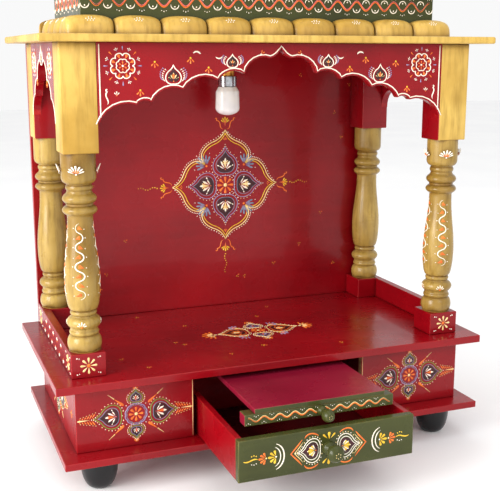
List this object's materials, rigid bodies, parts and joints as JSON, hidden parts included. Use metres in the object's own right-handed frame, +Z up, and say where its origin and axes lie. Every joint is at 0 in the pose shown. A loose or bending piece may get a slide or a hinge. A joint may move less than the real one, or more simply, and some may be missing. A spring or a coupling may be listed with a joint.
{
  "type": "wooden home temple",
  "caption": "Painted wooden home shrine on a stepped base, with turned pillars, cusped arches, lotus-petal mouldings, a dome, a sliding drawer and a pull-out tray.",
  "frame": {"origin": "on the floor, under the middle of the overall box with the drawer and tray pulled out", "axes": "+Z up, -Y is the open front of the shrine, +X to the viewer's right when facing it"},
  "size_m": [0.53, 0.406, 0.72],
  "materials": {
    "red_paint": "glossy varnished red paint",
    "yellow_paint": "satin antiqued yellow paint",
    "green_paint": "satin olive green paint",
    "crimson_paint": "satin crimson paint",
    "black_paint": "glossy black paint",
    "bare_wood": "dark stained wood",
    "lamp_metal": "polished",
    "bulb_white": "milk-white diffuser"
  },
  "bodies": {
    "temple": {"feet": "black_paint", "lower_board": "red_paint", "base_panel_left": "red_paint", "base_panel_right": "red_paint", "base_side_left": "red_paint", "base_side_right": "red_paint", "base_back": "red_paint", "drawer_guides": "bare_wood", "tray_hangers": "bare_wood", "tray_ledges": "bare_wood", "upper_board": "red_paint", "plinth_blocks": "red_paint", "pillar_front_left": "yellow_paint", "pillar_front_right": "yellow_paint", "pillar_rear_left": "yellow_paint", "pillar_rear_right": "yellow_paint", "side_rail_left": "red_paint", "side_rail_right": "red_paint", "back_panel": "red_paint", "front_valance": "red_paint", "side_valance_left": "red_paint", "side_valance_right": "red_paint", "cornice_board": "yellow_paint", "petals_front_row": "yellow_paint", "petals_rear_row": "yellow_paint", "petals_end_rows": "yellow_paint", "frieze_front": "green_paint", "frieze_rear": "green_paint", "frieze_ends": "green_paint", "frieze_cap": "yellow_paint", "upper_petals": "yellow_paint", "step_block": "red_paint", "step_cap": "yellow_paint", "dome": "red_paint", "finial": "yellow_paint", "bulb_holder": "lamp_metal", "bulb": "bulb_white"},
    "drawer": {"drawer_front": "green_paint", "drawer_sides": "red_paint", "drawer_back": "red_paint", "drawer_bottom": "bare_wood", "drawer_knob": "green_paint"},
    "tray": {"tray_board": "crimson_paint", "tray_strip": "green_paint", "tray_knob": "green_paint"}
  },
  "joints": [
    {"name": "drawer_slide", "type": "slide", "parent": "temple", "child": "drawer", "axis": [0, -1, 0], "range_m": [-0.13, 0.02]},
    {"name": "tray_slide", "type": "slide", "parent": "temple", "child": "tray", "axis": [0, -1, 0], "range_m": [-0.11, 0.02]}
  ]
}
